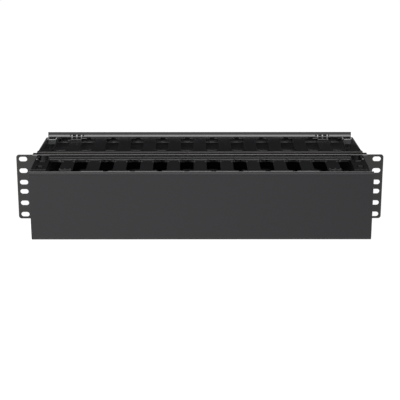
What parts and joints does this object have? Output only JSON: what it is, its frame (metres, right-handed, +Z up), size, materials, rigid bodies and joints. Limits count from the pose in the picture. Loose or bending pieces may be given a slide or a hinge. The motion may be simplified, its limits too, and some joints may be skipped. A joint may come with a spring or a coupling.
{
  "type": "horizontal cable manager",
  "caption": "Two-unit rack-mounted horizontal cable manager with finger ducts front and rear, pass-through openings and a hinged cover on each duct.",
  "frame": {"origin": "centre of the rack panel's front face, midway between the two columns of rack slots", "axes": "+Z up, the front cover faces -Y, +X to the right seen from the front"},
  "size_m": [0.4826, 0.182, 0.0949],
  "materials": {
    "panel_steel": "black powder-coated sheet steel, fine matt texture",
    "duct_plastic": "black moulded plastic with a light satin skin",
    "clip_plastic": "black moulded acetal, slightly glossy",
    "cover_plastic": "black-grey extruded plastic, even satin face with faint lengthwise draw lines",
    "screw_steel": "black zinc-plated steel"
  },
  "bodies": {
    "chassis": {"rack_panel": "panel_steel", "front_duct_base": "duct_plastic", "rear_duct_base": "duct_plastic", "front_finger_comb_top": "duct_plastic", "front_finger_comb_bottom": "duct_plastic", "rear_finger_comb_top": "duct_plastic", "rear_finger_comb_bottom": "duct_plastic", "front_end_bracket_left": "duct_plastic", "front_end_bracket_right": "duct_plastic", "rear_end_bracket_left": "duct_plastic", "rear_end_bracket_right": "duct_plastic", "front_hinge_clip_top_left": "clip_plastic", "front_hinge_clip_top_right": "clip_plastic", "front_hinge_clip_bottom_left": "clip_plastic", "front_hinge_clip_bottom_right": "clip_plastic", "rear_hinge_clip_top_left": "clip_plastic", "rear_hinge_clip_top_right": "clip_plastic", "rear_hinge_clip_bottom_left": "clip_plastic", "rear_hinge_clip_bottom_right": "clip_plastic", "base_screws": "screw_steel", "base_nuts": "screw_steel"},
    "front_lid": {"front_cover": "cover_plastic"},
    "rear_lid": {"rear_cover": "cover_plastic"}
  },
  "joints": [
    {"name": "front_cover_hinge", "type": "hinge", "parent": "chassis", "child": "front_lid", "pos_m": [0, -0.0775, 0.04], "axis": [-1, 0, 0], "range_deg": [0, 90]},
    {"name": "rear_cover_hinge", "type": "hinge", "parent": "chassis", "child": "rear_lid", "pos_m": [0, 0.093, 0.0439], "axis": [1, 0, 0], "range_deg": [0, 115]}
  ]
}
